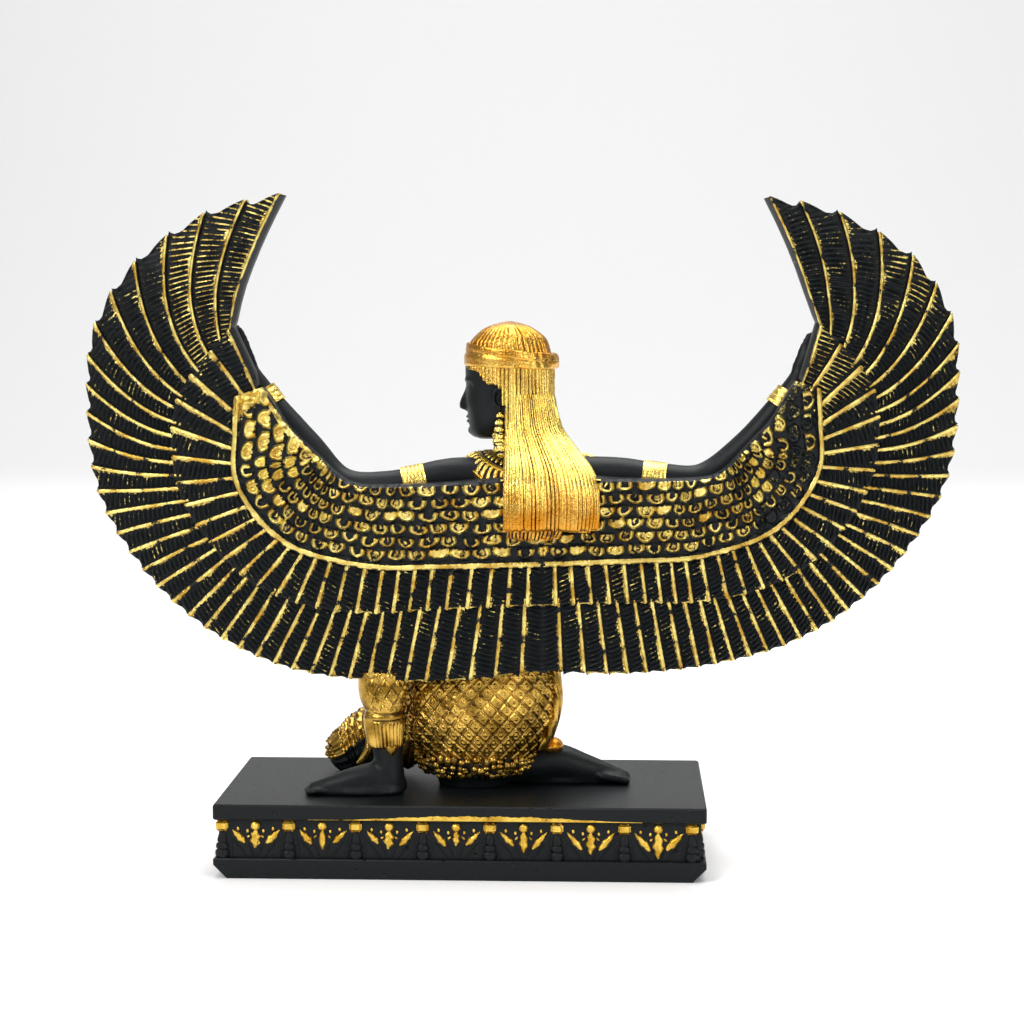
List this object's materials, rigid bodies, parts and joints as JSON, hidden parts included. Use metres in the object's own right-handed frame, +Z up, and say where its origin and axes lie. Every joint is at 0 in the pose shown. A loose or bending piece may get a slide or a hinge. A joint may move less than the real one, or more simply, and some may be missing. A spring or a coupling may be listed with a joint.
{
  "type": "figurine",
  "caption": "Kneeling winged figure with raised, outspread feathered wings and a long wig, cast in one piece with an oblong plinth that has a carved frieze.",
  "frame": {"origin": "centre of the plinth's underside", "axes": "+X along the plinth and the span of the wings, towards the wing behind the figure's head; -Y out of the back of the wings; +Z up"},
  "size_m": [0.196, 0.056, 0.15],
  "materials": {
    "black_resin": "satin",
    "gold_paint": "satin"
  },
  "bodies": {
    "root": {"winged_figurine": "black_resin"}
  },
  "joints": []
}
